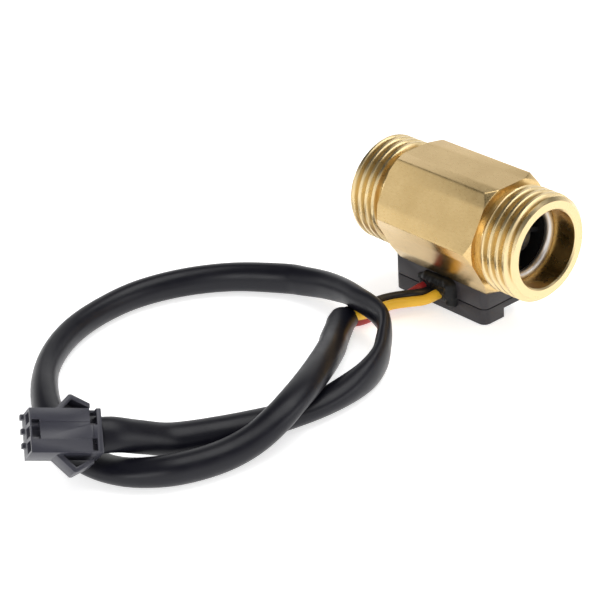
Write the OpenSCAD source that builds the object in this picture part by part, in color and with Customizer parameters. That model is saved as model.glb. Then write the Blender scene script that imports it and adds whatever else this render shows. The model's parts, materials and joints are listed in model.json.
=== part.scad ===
// Water flow sensor: a threaded brass body with a turbine cartridge inside, a sensor housing
// screwed to its lower flat, and a sleeved three-wire lead that ends in a latching connector.
// The pipe runs along X with the inlet at +X. Z points up. The origin is on the table, below
// the middle of the pipe. All sizes are in millimetres.

/* [Brass body] */
// Length of the brass body from end face to end face
pipe_len = 43; // [40:0.5:60]
// Width of the hexagon across its flats
hex_af = 21; // [21:0.1:24]
// Length of the hexagon
hex_len = 25; // [23:0.5:28]
// Diameter at which the cone on each end of the hexagon starts
hex_cone_d = 22; // [21.6:0.1:23]
// Outside diameter of the thread
thread_d = 20.955; // [20.8:0.005:21.2]
// Distance from one thread crest to the next
thread_pitch = 1.814; // [1.6:0.002:2]
// Depth of the thread from crest to root
thread_depth = 1.162; // [0.9:0.002:1.2]
// Width of the flat on each crest and in each root
thread_flat = 0.3; // [0.2:0.05:0.4]
// Shortest plain groove between the hexagon and the thread
relief_len = 1.5; // [1:0.1:2.5]
// How far the thread is cut back at the end face, measured on the radius
end_chamfer = 1.05; // [0.8:0.05:1.1]
// Diameter of the bore that holds the cartridge
bore_d = 15.2; // [15:0.05:15.4]
// Diameter of the outlet bore behind the shoulder
outlet_bore_d = 12; // [11.4:0.1:12.6]
// Place of the shoulder that stops the cartridge, from the middle of the pipe
shoulder_x = -12; // [-12.2:0.1:-11.4]
// Small bevel on the edge of each mouth
mouth_bevel = 0.3; // [0.2:0.05:0.5]

/* [Retaining ring] */
// Thickness of the round wire
ring_wire_d = 1.8; // [1.4:0.1:2]
// How far the ring bites into the wall of the bore
ring_bite = 0.4; // [0.3:0.05:0.5]
// Angle that stays open between the two ends of the ring
ring_gap = 30; // [20:1:60]

/* [Cartridge] */
// Gap between the cartridge and the bore, on the radius
cartridge_clear = 0.05; // [0.02:0.01:0.1]
// Wall of the cartridge sleeve and of the guide's outer ring
cartridge_wall = 0.95; // [0.8:0.05:1.05]
// Length of the cartridge sleeve
sleeve_len = 18; // [16:0.5:19]
// Outside diameter of the three hubs in the flow
hub_d = 6.8; // [6.4:0.1:7.2]
// Number of spokes that carry the outlet hub
spokes = 3; // [3:1:5]
// Thickness of a spoke
spoke_t = 1.1; // [0.8:0.1:1.6]
// Length of a spoke along the pipe
spoke_len = 3; // [2:0.25:3.5]
// Length of the outlet hub
outlet_hub_len = 3.6; // [3.6:0.1:4.5]
// Length of the inlet guide's outer ring
guide_len = 8.4; // [7.6:0.1:9]
// Number of guide vanes
guide_vanes = 5; // [3:1:6]
// Length of a guide vane along the pipe
vane_len = 7; // [5:0.5:7.5]
// Angle between a guide vane and the pipe's axis
vane_angle = 18; // [10:1:20]
// Thickness of a guide vane
vane_t = 0.9; // [0.7:0.1:1.2]
// Length of the rounded nose in front of the inlet hub
nose_len = 2.6; // [1.5:0.1:3.4]

/* [Turbine] */
// Number of turbine blades
blades = 6; // [4:1:8]
// Length of a blade along the pipe
blade_len = 7; // [5:0.5:7.5]
// Angle between a blade and the pipe's axis
blade_angle = 32; // [20:1:34]
// Thickness of a blade
blade_t = 0.9; // [0.7:0.1:1.2]
// Gap between the blade tips and the cartridge sleeve
tip_gap = 0.35; // [0.25:0.05:0.6]
// Diameter of the fixed steel shaft
shaft_d = 2; // [1.6:0.1:2.2]
// Length of shaft that sits in each hub
shaft_seat = 3; // [2:0.1:3.2]
// Gap between the shaft and what turns on it, on the radius
running_gap = 0.05; // [0.02:0.01:0.1]
// Gap around fixed pieces that are pushed together, on the radius
seat_gap = 0.02; // [0.01:0.01:0.05]
// Thickness of a thrust washer
washer_t = 0.4; // [0.3:0.05:0.6]
// Outside diameter of a thrust washer
washer_d = 3.4; // [3:0.1:3.4]
// Play of the turbine along the shaft at each end
axial_play = 0.2; // [0.1:0.05:0.4]
// Length of the magnet ring
magnet_len = 6; // [4:0.5:7]
// Inside diameter of the magnet ring
magnet_id = 3.5; // [3.5:0.1:3.8]
// Outside diameter of the magnet ring
magnet_od = 5.5; // [5:0.1:5.6]

/* [Sensor housing] */
// Length of the housing along the pipe
housing_len = 24.4; // [23:0.1:26]
// Width of the housing across the pipe
housing_w = 11; // [10.6:0.1:12]
// Height of the housing from the table to the brass
housing_h = 7.5; // [7.2:0.1:9]
// Place of the housing's middle along the pipe
housing_x = -1.8; // [-3:0.1:0]
// Height of the lower cover
cover_h = 3.4; // [3.3:0.05:3.6]
// Side wall of the housing and its cover
wall = 1.2; // [1:0.05:1.4]
// Thickness of the housing's roof
roof_t = 1; // [0.8:0.05:1.1]
// Thickness of the cover's floor
floor_t = 1; // [0.8:0.05:1.2]
// Radius of the housing's upright corners
corner_r = 1.5; // [1:0.1:2]
// Height and depth of the fine groove along the seam
seam = 0.25; // [0.15:0.05:0.4]
// Thickness of the cover where the screws hold it
ledge_t = 1.5; // [1.2:0.1:1.7]
// Distance of each screw from its end of the housing
screw_inset = 4; // [3.8:0.1:4.4]
// Distance of the screws from the middle plane
screw_y = 2.8; // [2.6:0.1:3]
// Diameter of the screw bosses
boss_d = 4.4; // [4:0.1:4.6]
// Distance from the middle plane to the near side of the screw pockets
pocket_y = -0.2; // [-0.4:0.1:0]

/* [Screws] */
// Diameter of the screw
screw_d = 2; // [1.8:0.1:2.2]
// Length of the screw below its head
screw_len = 8; // [7.5:0.1:8.2]
// Diameter of the screw head
screw_head_d = 3.5; // [3.2:0.1:3.8]
// Height of the screw head
screw_head_h = 1.2; // [1:0.1:1.4]
// Width of the cross slot in the head
cross_w = 0.5; // [0.4:0.05:0.6]

/* [Electronics] */
// Thickness of the circuit board
board_t = 0.8; // [0.6:0.1:1]
// Width of the circuit board across the pipe
board_w = 7.6; // [7:0.1:8]
// Width of the two rails that carry the board
rail_w = 0.8; // [0.6:0.05:0.9]
// Gap between the board and the screw bosses
board_gap = 0.5; // [0.3:0.05:0.6]
// Length of the Hall sensor along the pipe
hall_len = 4; // [3:0.1:4.2]
// Width of the Hall sensor
hall_w = 3; // [2.6:0.1:3.2]
// Height of the Hall sensor
hall_h = 1.4; // [1:0.05:1.45]
// Length of a chip resistor or capacitor
chip_len = 2; // [1.6:0.1:2.2]
// Width of a chip resistor or capacitor
chip_w = 1.25; // [0.8:0.05:1.4]

/* [Wires and seal] */
// Diameter of a wire over its insulation
wire_d = 2; // [1.8:0.05:2]
// Distance between wires where they leave the housing
wire_pitch = 2.1; // [2.05:0.05:2.3]
// Place of the middle wire along the pipe
wire_x = -3.3; // [-3.6:0.1:-3]
// Place of the seal's middle along the pipe
seal_x = -2.2; // [-2.6:0.1:-2]
// Width of the wire seal inside the wall
seal_w = 8.6; // [8.4:0.1:9]
// Height of the bottom of the seal above the table
seal_z = 1.7; // [1.5:0.05:1.9]
// Height of the seal inside the wall
seal_h = 4.2; // [3.6:0.1:4.4]
// How far the seal stands proud of the housing
seal_proud = 1.3; // [0.8:0.1:1.6]

/* [Connector] */
// Length of the connector body
plug_len = 12.4; // [12:0.1:13]
// Width of the connector body
plug_w = 7.8; // [7.6:0.05:8.4]
// Thickness of the connector body without its latch
plug_h = 4.9; // [4.8:0.1:5.6]
// Distance between neighbouring contacts
contact_pitch = 2.5; // [2.4:0.02:2.54]
// Width of the cavity of one contact
cavity_w = 1.8; // [1.7:0.05:2]
// Height of the cavity of one contact
cavity_h = 2.1; // [2:0.05:2.3]
// Gap around a contact in its cavity
contact_gap = 0.1; // [0.05:0.01:0.15]
// How far each latch wing stands out
wing_out = 2.9; // [2.4:0.1:3.2]
// Wall thickness of the latch wings
wing_t = 0.9; // [0.7:0.05:1]
// Height of the latch wings
wing_h = 3.4; // [3:0.1:4]
// Floor that joins each latch wing to the body
wing_floor = 0.6; // [0.5:0.05:0.8]

/* [Hidden] */
$fn = 72;
// Overlap that keeps joined shapes in one piece
eps = 0.01;

// Height of the pipe's axis above the table
axis_z = housing_h + hex_af / 2;
thread_r = thread_d / 2;
root_r = thread_r - thread_depth;
corner_radius = hex_af / sqrt(3);
end_len = (pipe_len - hex_len) / 2;
crests = floor((end_len - relief_len) / thread_pitch);
bore_r = bore_d / 2;
hub_r = hub_d / 2;

// The cartridge stacks up from the shoulder towards the inlet
outlet_bore_len = pipe_len / 2 + shoulder_x;
sleeve_end_x = shoulder_x + sleeve_len;
guide_end_x = sleeve_end_x + guide_len;
ring_x = guide_end_x + ring_wire_d / 2;
ring_r = bore_r + ring_bite - ring_wire_d / 2;
cartridge_r = bore_r - cartridge_clear;
channel_r = cartridge_r - cartridge_wall;

// The turbine runs between the two hubs
outlet_hub_x = shoulder_x + outlet_hub_len;
rotor_x = outlet_hub_x + washer_t + axial_play;
rotor_len = sleeve_end_x - rotor_x - washer_t - axial_play;
shaft_x = outlet_hub_x - shaft_seat;
shaft_len = sleeve_end_x - outlet_hub_x + 2 * shaft_seat;
magnet_x = rotor_x;
blade_x = rotor_x + rotor_len - blade_len - 0.6;
blade_root = 0.4;

// The housing below the lower flat
near_y = -housing_w / 2;
left_x = housing_x - housing_len / 2;
right_x = housing_x + housing_len / 2;
screw_xs = [left_x + screw_inset, right_x - screw_inset];
pocket_len = screw_inset + boss_d / 2 + board_gap + rail_w;
rail_xs = [left_x + pocket_len - rail_w, right_x - pocket_len];
ledge_z = cover_h - ledge_t;
board_z = seal_z + 2.5;
board_x = rail_xs[0];
board_len = rail_xs[1] + rail_w - rail_xs[0];
board_top = board_z + board_t;
wire_z = board_z - wire_d / 2;
wire_xs = [wire_x - wire_pitch, wire_x, wire_x + wire_pitch];
hall_x = magnet_x + magnet_len / 2;
chip_x = rail_xs[1] - chip_len - 0.6;

// Where the connector lies: turned and tipped on the sleeve that passes below it
plug_at = [-2.05, -93.83, 10.74];
plug_turn = [-44, -15, -112];

// Route of the sleeve from its open mouth to the connector: place, width, height and roll
sleeve_route = [
    [-8.6, -24, 2.4, 5.6, 4.6, 0],
    [-7.6, -25.8, 2.4, 5.6, 4.7, 0],
    [-6.2, -27.6, 2.5, 5.4, 5, 0],
    [-4.4, -29.9, 2.8, 5.4, 5.4, 0],
    [-2, -32.8, 3.4, 5.4, 5.6, 0],
    [1, -36.2, 4.2, 5.4, 5.6, 0],
    [6.5, -43.6, 6, 5.6, 5.2, 0],
    [11, -51, 7, 5.8, 4.6, 0],
    [13.2, -56.4, 6.8, 5.8, 4.4, 0],
    [14, -60.6, 5.6, 5.8, 5, 0],
    [14, -65.5, 4, 5.6, 5.4, 0],
    [13.2, -70.7, 3, 5.6, 5.6, 0],
    [11.8, -76.3, 2.8, 5.6, 5.6, 0],
    [9.2, -81.8, 2.8, 5.6, 5.4, 0],
    [4.4, -86, 2.4, 6, 4.6, 0],
    [-2, -88, 2.1, 6.2, 4, 0],
    [-10.6, -87.8, 2.2, 6, 4.2, 0],
    [-19.2, -85, 2.6, 5.6, 5, 0],
    [-26.8, -81, 2.7, 5.2, 5.4, 0],
    [-34, -75.5, 2.6, 4.7, 5.2, 0],
    [-39.5, -69, 2.6, 4.7, 5.2, 0],
    [-43.3, -61.8, 2.6, 4.7, 5.2, 0],
    [-45.3, -53.4, 2.6, 4.8, 5.2, 0],
    [-45.2, -44.9, 2.7, 5.2, 5.4, 0],
    [-42.2, -36, 2.8, 5.4, 5.6, 0],
    [-36.5, -28, 2.9, 5.6, 5.8, 0],
    [-28.4, -21.8, 3, 5.8, 6, 0],
    [-24, -20.4, 3.4, 5.4, 5.9, 0],
    [-19, -19.8, 4.2, 5, 5.6, 0],
    [-14.1, -20.3, 5.2, 4.6, 5.2, 0],
    [-10.3, -21.1, 6, 4.2, 4.8, 0],
    [-6.7, -22, 6.4, 4, 4.8, 0],
    [-2.6, -22.8, 6.6, 3.4, 5.2, 0],
    [0.4, -23.6, 6.5, 3, 5.6, 0],
    [3, -24.7, 6.2, 2.8, 6, 0],
    [5.1, -26.4, 5.5, 2.8, 6.4, 0],
    [6.9, -28.5, 4.7, 3, 6.6, 0],
    [9.4, -31.9, 3.8, 3.4, 6.4, 0],
    [11.2, -36.8, 3.1, 4.4, 6, 0],
    [11.7, -42.2, 2.6, 5.6, 5.1, 0],
    [11.6, -48, 2.3, 5.8, 4.4, 0],
    [10.8, -53.6, 2.3, 5.8, 4.4, 0],
    [9.3, -60, 2.6, 5.6, 5.2, 0],
    [6.4, -67.4, 2.8, 5.6, 5.6, 0],
    [3, -75, 3.4, 5.6, 5.6, 0],
    [1.7, -80.6, 5.8, 5.8, 5.2, -15],
    [0.95, -85.2, 8.1, 6.2, 4.2, -35],
    [-0.05, -88.2, 8.9, 6.4, 3.8, -44]
];

// Routes of the three wires from the board to a short way inside the sleeve
wire_route_yellow = [
    [wire_xs[2], -1.6, wire_z],
    [wire_xs[2], -4.2, wire_z],
    [wire_xs[2], -7, wire_z],
    [-1.75, -9.5, 2.9],
    [-3.6, -12.1, 2.8],
    [-5.2, -15, 2.8],
    [-5.9, -18.2, 2.8],
    [-6.4, -21, 2.75],
    [-7.2, -23.3, 2.95],
    [-6.9, -24.9, 3.1],
    [-5.4, -26.9, 3.2],
    [-3.5, -29.2, 3.5],
    [-1.1, -32.1, 4.1]
];
wire_route_black = [
    [wire_xs[1], -1.6, wire_z],
    [wire_xs[1], -4.2, wire_z],
    [wire_xs[1], -7.1, wire_z],
    [-4, -9.2, 3.25],
    [-5.95, -11.6, 3.15],
    [-7.5, -14.5, 3.05],
    [-8.1, -17.8, 3],
    [-8.6, -20.6, 2.75],
    [-9.4, -23.1, 2.95],
    [-8.9, -26, 3.1],
    [-7.2, -28.3, 3.2],
    [-5.2, -30.6, 3.5],
    [-2.8, -33.5, 4.1]
];
wire_route_red = [
    [wire_xs[0], -1.6, wire_z],
    [wire_xs[0], -4.2, wire_z],
    [wire_xs[0], -6.9, wire_z],
    [-6.2, -8.7, 2.4],
    [-7.35, -10.5, 1.4],
    [-7.8, -13.2, 1],
    [-7.5, -16.1, 1],
    [-7.15, -19, 1],
    [-7.5, -21.2, 1],
    [-8.25, -23.4, 1.2],
    [-7.9, -25.5, 1.35],
    [-6.3, -27.6, 1.45],
    [-4.4, -29.9, 1.75],
    [-2, -32.8, 2.35]
];

// Turn a shape that was drawn along Z so that it runs along the pipe from x
module on_pipe(x) {
    translate([x, 0, axis_z])
        rotate([0, 90, 0])
            children();
}

// Block with rounded upright corners, from one corner of its base
module rounded_block(size, r) {
    translate([r, 0, 0])
        cube([size[0] - 2 * r, size[1], size[2]]);
    translate([0, r, 0])
        cube([size[0], size[1] - 2 * r, size[2]]);
    for (x = [r, size[0] - r], y = [r, size[1] - r])
        translate([x, y, 0])
            cylinder(r = r, h = size[2]);
}

// Half section of one threaded end: plain groove, crests, then the cut-back end face
function crest_at(i) = end_len - thread_pitch * (i + 0.5);
function thread_section() = let (w = (thread_pitch - thread_flat) / 2, f = thread_flat / 2)
    concat(
        [[0, -1], [root_r, -1]],
        [for (i = [crests - 1 : -1 : 0]) each [
            [root_r, crest_at(i) - w],
            [thread_r, crest_at(i) - f],
            [thread_r, crest_at(i) + f],
            [i > 0 ? root_r : thread_r - end_chamfer, i > 0 ? crest_at(i) + w : end_len]
        ]],
        [[0, end_len]]
    );

module threaded_end() {
    rotate_extrude()
        polygon(thread_section());
}

// Hexagon with a cone turned on each end, lying across the pipe with two flats level
module hexagon() {
    cone = corner_radius + 0.1 - hex_cone_d / 2;
    reach = corner_radius + 0.1;
    intersection() {
        rotate([0, 0, 30])
            cylinder(r = corner_radius, h = hex_len, $fn = 6);
        rotate_extrude()
            polygon([
                [0, 0], [hex_cone_d / 2, 0], [reach, cone],
                [reach, hex_len - cone], [hex_cone_d / 2, hex_len], [0, hex_len]
            ]);
    }
}

module brass_body() {
    color("#c9a85c")
        difference() {
            union() {
                on_pipe(-hex_len / 2)
                    hexagon();
                on_pipe(hex_len / 2)
                    threaded_end();
                translate([-hex_len / 2, 0, axis_z])
                    rotate([0, -90, 0])
                        threaded_end();
            }
            // Cartridge bore with its bevelled mouth
            on_pipe(shoulder_x)
                cylinder(r = bore_r, h = pipe_len);
            on_pipe(pipe_len / 2 - mouth_bevel)
                cylinder(r1 = bore_r, r2 = bore_r + 2 * mouth_bevel, h = 2 * mouth_bevel);
            // Outlet bore with its bevelled mouth
            on_pipe(-pipe_len / 2 - 1)
                cylinder(d = outlet_bore_d, h = outlet_bore_len + 2);
            on_pipe(-pipe_len / 2 - mouth_bevel)
                cylinder(d1 = outlet_bore_d + 4 * mouth_bevel, d2 = outlet_bore_d, h = 2 * mouth_bevel);
            // Half-round groove for the retaining ring
            on_pipe(ring_x)
                rotate_extrude()
                    translate([ring_r, 0])
                        circle(d = ring_wire_d + 2 * seat_gap);
            // Blind holes for the housing screws
            for (x = screw_xs)
                translate([x, screw_y, housing_h - 1])
                    cylinder(d = screw_d + 2 * seat_gap, h = ledge_z + screw_len - housing_h + 1.1);
        }
}

module retaining_ring() {
    color("#b9b6b4")
        on_pipe(ring_x)
            rotate([0, 0, -90 + ring_gap / 2])
                rotate_extrude(angle = 360 - ring_gap)
                    translate([ring_r, 0])
                        circle(d = ring_wire_d);
}

// Blades or vanes around a hub: flat plates set at an angle, trimmed round at their tips
module slanted_blades(count, length, angle, thickness, tip_r) {
    intersection() {
        cylinder(r = tip_r, h = length);
        for (i = [0 : count - 1])
            rotate([0, 0, i * 360 / count])
                translate([0, 0, length / 2])
                    rotate([angle, 0, 0])
                        translate([hub_r / 2, -thickness / 2, -length])
                            cube([tip_r, thickness, 2 * length]);
    }
}

// Outer wall shared by the guide and the cartridge sleeve
module cartridge_tube(length) {
    difference() {
        cylinder(r = cartridge_r, h = length);
        translate([0, 0, -1])
            cylinder(r = channel_r, h = length + 2);
    }
}

module inlet_guide() {
    color("#1f2022")
        on_pipe(sleeve_end_x)
            difference() {
                union() {
                    cartridge_tube(guide_len);
                    cylinder(r = hub_r, h = vane_len);
                    slanted_blades(guide_vanes, vane_len, -vane_angle, vane_t, channel_r + blade_root);
                    // Rounded nose that parts the flow
                    translate([0, 0, vane_len])
                        rotate_extrude()
                            polygon(concat([[0, 0]], [for (a = [0 : 10 : 90]) [hub_r * cos(a), nose_len * sin(a)]]));
                }
                translate([0, 0, -1])
                    cylinder(d = shaft_d + 2 * seat_gap, h = shaft_seat + 1);
            }
}

module cartridge_sleeve() {
    color("#26272a")
        on_pipe(shoulder_x)
            difference() {
                union() {
                    cartridge_tube(sleeve_len);
                    cylinder(r = hub_r, h = outlet_hub_len);
                    for (i = [0 : spokes - 1])
                        rotate([0, 0, 90 + i * 360 / spokes])
                            translate([hub_r - blade_root, -spoke_t / 2, 0])
                                cube([channel_r - hub_r + 2 * blade_root, spoke_t, spoke_len]);
                }
                translate([0, 0, outlet_hub_len - shaft_seat])
                    cylinder(d = shaft_d + 2 * seat_gap, h = shaft_seat + 1);
            }
}

module rotor() {
    color("#2f3033")
        on_pipe(0)
            difference() {
                union() {
                    translate([0, 0, rotor_x])
                        cylinder(r = hub_r, h = rotor_len);
                    translate([0, 0, blade_x])
                        slanted_blades(blades, blade_len, blade_angle, blade_t, channel_r - tip_gap);
                }
                // Bore for the shaft
                translate([0, 0, rotor_x - 1])
                    cylinder(d = shaft_d + 2 * running_gap, h = rotor_len + 2);
                // Ring-shaped pocket for the magnet
                translate([0, 0, magnet_x - 1])
                    difference() {
                        cylinder(d = magnet_od + 2 * seat_gap, h = magnet_len + 1);
                        translate([0, 0, -1])
                            cylinder(d = magnet_id - 2 * seat_gap, h = magnet_len + 3);
                    }
            }
}

module magnet_ring() {
    color("#3a3b40")
        on_pipe(magnet_x)
            difference() {
                cylinder(d = magnet_od, h = magnet_len);
                translate([0, 0, -1])
                    cylinder(d = magnet_id, h = magnet_len + 2);
            }
}

module rotor_shaft() {
    color("#c8cacc")
        on_pipe(shaft_x)
            cylinder(d = shaft_d, h = shaft_len);
}

module thrust_washer(x) {
    color("#e8e6de")
        on_pipe(x)
            difference() {
                cylinder(d = washer_d, h = washer_t);
                translate([0, 0, -1])
                    cylinder(d = shaft_d + 2 * seat_gap, h = washer_t + 2);
            }
}

module inlet_washer() {
    thrust_washer(sleeve_end_x - washer_t);
}

module outlet_washer() {
    thrust_washer(outlet_hub_x);
}

// Opening in the near wall for the wires, with rounded upper and lower corners
module seal_block(grow, y0, y1) {
    r = 1.2;
    w = seal_w + 2 * grow;
    h = seal_h + 2 * grow;
    translate([seal_x - w / 2, y1, seal_z - grow])
        rotate([90, 0, 0])
            rounded_block([w, h, y1 - y0], r);
}

module sensor_housing() {
    color("#45434a")
        difference() {
            translate([left_x, near_y, cover_h])
                rounded_block([housing_len, housing_w, housing_h - cover_h], corner_r);
            // Hollow for the board, with the screw bosses left standing
            difference() {
                translate([left_x + wall, near_y + wall, cover_h - 1])
                    cube([housing_len - 2 * wall, housing_w - 2 * wall, housing_h - roof_t - cover_h + 1]);
                for (x = screw_xs)
                    translate([x, screw_y, cover_h - 2])
                        cylinder(d = boss_d, h = housing_h);
            }
            for (x = screw_xs)
                translate([x, screw_y, 0])
                    cylinder(d = screw_d + 2 * seat_gap, h = housing_h + 1);
            seal_block(seat_gap, near_y - 1, near_y + wall + 1);
        }
}

module housing_cover() {
    color("#403e45")
        difference() {
            union() {
                translate([left_x, near_y, 0])
                    rounded_block([housing_len, housing_w, cover_h - seam], corner_r);
                translate([left_x + seam, near_y + seam, cover_h - seam - eps])
                    rounded_block([housing_len - 2 * seam, housing_w - 2 * seam, seam + eps], corner_r - seam);
                // Rails that carry the circuit board
                for (x = rail_xs)
                    translate([x, pocket_y - wall, cover_h - ledge_t / 2])
                        cube([rail_w, board_w / 2 - pocket_y + wall - 0.2, board_z - cover_h + ledge_t / 2]);
            }
            // Hollow along the near side, where the wires lie
            translate([left_x + wall, near_y + wall, floor_t])
                cube([housing_len - 2 * wall, pocket_y - near_y - 2 * wall, cover_h]);
            // Hollow between the two screw pockets
            translate([left_x + pocket_len + wall, near_y + wall, floor_t])
                cube([housing_len - 2 * pocket_len - 2 * wall, housing_w - 2 * wall, cover_h]);
            // Screw pockets in the two far corners, open to the end, the side and below
            for (x = [left_x - 1, right_x - pocket_len])
                translate([x, pocket_y, -1])
                    cube([pocket_len + 1, housing_w, ledge_z + 1]);
            for (x = screw_xs)
                translate([x, screw_y, 0])
                    cylinder(d = screw_d + 2 * seat_gap, h = cover_h + 1);
            seal_block(seat_gap, near_y - 1, near_y + wall + 1);
        }
}

module circuit_board() {
    color("#2f6b45")
        translate([board_x, -board_w / 2, board_z])
            cube([board_len, board_w, board_t]);
}

module hall_sensor() {
    color("#232326")
        translate([hall_x - hall_len / 2, -hall_w / 2, board_top])
            cube([hall_len, hall_w, hall_h]);
}

// Chip part with a metal cap at each end, drawn as one block
module chip(y, height) {
    translate([chip_x, y - chip_w / 2, board_top])
        cube([chip_len, chip_w, height]);
}

module chip_resistor() {
    color("#1c1c1f")
        chip(chip_w, 0.5);
}

module chip_capacitor() {
    color("#b09a78")
        chip(-chip_w, 0.9);
}

module wire_seal() {
    color("#1b1b1d")
        difference() {
            union() {
                seal_block(0, near_y - eps, near_y + wall);
                // Thick lip that laps over the face of the housing
                translate([seal_x - seal_w / 2 - 0.9, near_y, seal_z - 0.5])
                    rotate([90, 0, 0])
                        rounded_block([seal_w + 1.8, seal_h + 1.5, seal_proud], 1.6);
            }
            for (x = wire_xs)
                translate([x, near_y + wall + 1, wire_z])
                    rotate([90, 0, 0])
                        cylinder(d = wire_d + 2 * seat_gap, h = wall + seal_proud + 2);
        }
}

module housing_screw(x) {
    color("#bfc1c4")
        translate([x, screw_y, ledge_z]) {
            difference() {
                translate([0, 0, -screw_head_h])
                    cylinder(d = screw_head_d, h = screw_head_h);
                for (a = [0, 90])
                    rotate([0, 0, a])
                        translate([-screw_head_d / 4, -cross_w / 2, -screw_head_h - 1])
                            cube([screw_head_d / 2, cross_w, 1.6]);
            }
            translate([0, 0, -eps])
                cylinder(d = screw_d, h = screw_len + eps);
        }
}

module inlet_screw() {
    housing_screw(screw_xs[1]);
}

module outlet_screw() {
    housing_screw(screw_xs[0]);
}

// Tube swept along a route: one ring of points at each place, ends closed
function unit(v) = v / norm(v);
function place(p) = [p[0], p[1], p[2]];
function heading(route, i) = unit(
    place(route[min(i + 1, len(route) - 1)]) - place(route[max(i - 1, 0)])
);
function across(t) = unit(cross(t, [0, 0, 1]));
function ring_point(p, t, a) = let (
        s = across(t),
        u = cross(s, t),
        x = p[3] / 2 * cos(a),
        y = p[4] / 2 * sin(a)
    )
    place(p) + s * (x * cos(p[5]) - y * sin(p[5])) + u * (x * sin(p[5]) + y * cos(p[5]));

module swept_tube(route, sides) {
    rings = len(route);
    points = [
        for (i = [0 : rings - 1], k = [0 : sides - 1])
            ring_point(route[i], heading(route, i), (k + 0.5) * 360 / sides)
    ];
    walls = [
        for (i = [0 : rings - 2], k = [0 : sides - 1])
            let (a = i * sides + k, b = i * sides + (k + 1) % sides)
                each [[a, b, b + sides], [a, b + sides, a + sides]]
    ];
    start_cap = [for (k = [0 : sides - 1]) sides - 1 - k];
    end_cap = [for (k = [0 : sides - 1]) (rings - 1) * sides + k];
    polyhedron(points = points, faces = concat(walls, [start_cap, end_cap]));
}

function wire_sections(route) = [for (p = route) [p[0], p[1], p[2], wire_d, wire_d, 0]];

module wire_red() {
    color("#a83030")
        swept_tube(wire_sections(wire_route_red), 8);
}

module wire_black() {
    color("#201c1c")
        swept_tube(wire_sections(wire_route_black), 8);
}

module wire_yellow() {
    color("#e8a820")
        swept_tube(wire_sections(wire_route_yellow), 8);
}

module cable_sleeve() {
    color("#2a2a2e")
        swept_tube(sleeve_route, 12);
}

// The connector is drawn flat, mating end towards +X, then laid in its place
module on_plug() {
    translate(plug_at)
        rotate(plug_turn)
            children();
}

cavity_floor = -0.15;
nub = 0.45;
notch_len = 1.7;

// Latch wing: a springy wall that runs out, turns at a tip and comes back beside the body
wing_tip = -plug_len * 0.1;
wing_end = -plug_len * 0.39;
module latch_wing() {
    foot = wing_tip + wing_out;
    translate([0, plug_w / 2, -plug_h / 2])
        difference() {
            linear_extrude(height = wing_h)
                polygon([
                    [foot, -0.5], [foot, 0], [wing_tip, wing_out], [wing_tip - 0.5, wing_out],
                    [wing_end, wing_out * 0.45], [wing_end, -0.5]
                ]);
            translate([0, 0, wing_floor])
                linear_extrude(height = wing_h)
                    polygon([
                        [foot - wing_t * 1.41, 0],
                        [wing_tip - wing_t * 0.46, wing_out - wing_t * 0.96],
                        [wing_end + wing_t * 0.41, wing_out * 0.45 - wing_t * 0.79],
                        [wing_end - 1, wing_out * 0.45 - wing_t * 0.79],
                        [wing_end - 1, 0]
                    ]);
        }
}

module connector_housing() {
    color("#4c4b52")
        on_plug()
            difference() {
                union() {
                    translate([-plug_len / 2, -plug_w / 2, -plug_h / 2])
                        cube([plug_len, plug_w, plug_h]);
                    // Latch wings on both sides
                    latch_wing();
                    mirror([0, 1, 0])
                        latch_wing();
                    // Latch arm below the body, joined at its front
                    translate([-plug_len * 0.45, -1.6, -plug_h / 2 - 0.9])
                        cube([plug_len * 0.75, 3.2, 0.6]);
                    translate([plug_len * 0.18, -1.6, -plug_h / 2 - 0.9])
                        cube([plug_len * 0.12, 3.2, 1.2]);
                    // Small nubs along the lower front edge
                    for (i = [-1 : 1])
                        translate([plug_len / 2 - nub, i * contact_pitch - 1.5, -plug_h / 2])
                            cube([2 * nub, 2 * nub, 2 * nub]);
                }
                // One cavity for each contact
                for (i = [-1 : 1])
                    translate([-plug_len, i * contact_pitch - cavity_w / 2, cavity_floor])
                        cube([2 * plug_len, cavity_w, cavity_h]);
                // Shallow strip and the window at its front
                translate([-plug_len * 0.38, -1.5, plug_h / 2 - 0.15])
                    cube([plug_len * 0.76, 3, 1]);
                translate([plug_len / 2 - notch_len, -1.9, plug_h / 2 - 0.9])
                    cube([notch_len - 0.25, 3.4, 2]);
                // Two windows in front of the rear flange
                translate([-plug_len * 0.435, -plug_w / 2 - 1, plug_h / 2 - 1.1])
                    cube([1.2, 3.9, 2]);
                translate([-plug_len * 0.42, 1.35, plug_h / 2 - 1.1])
                    cube([0.85, 2.2, 2]);
            }
}

module contact(i) {
    w = cavity_w - 2 * contact_gap;
    color("#c9b27c")
        on_plug()
            translate([-plug_len * 0.3, i * contact_pitch - w / 2, cavity_floor])
                difference() {
                    cube([plug_len * 0.6, w, w]);
                    translate([plug_len * 0.2, 0.25, 0.25])
                        cube([plug_len, w - 0.5, w - 0.5]);
                }
}

module contact_red() {
    contact(-1);
}

module contact_black() {
    contact(0);
}

module contact_yellow() {
    contact(1);
}

brass_body();
retaining_ring();
inlet_guide();
cartridge_sleeve();
rotor();
magnet_ring();
rotor_shaft();
inlet_washer();
outlet_washer();
sensor_housing();
housing_cover();
circuit_board();
hall_sensor();
chip_resistor();
chip_capacitor();
wire_seal();
inlet_screw();
outlet_screw();
wire_red();
wire_black();
wire_yellow();
cable_sleeve();
connector_housing();
contact_red();
contact_black();
contact_yellow();
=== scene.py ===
# %% [markdown]
# # Water flow sensor
#
# A brass pipe body with a turbine inside, a black sensor box below it, and a sleeved lead that
# makes one loop on the table and ends in a small latching connector. The CAD model gives every
# size and place. This lesson dresses it: camera and light first, then the cords, then the
# brass, the moulded pieces and the small parts.

# %% Load the frame
import json
import math

import bmesh
import bpy
from mathutils import Matrix, Vector, noise

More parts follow.
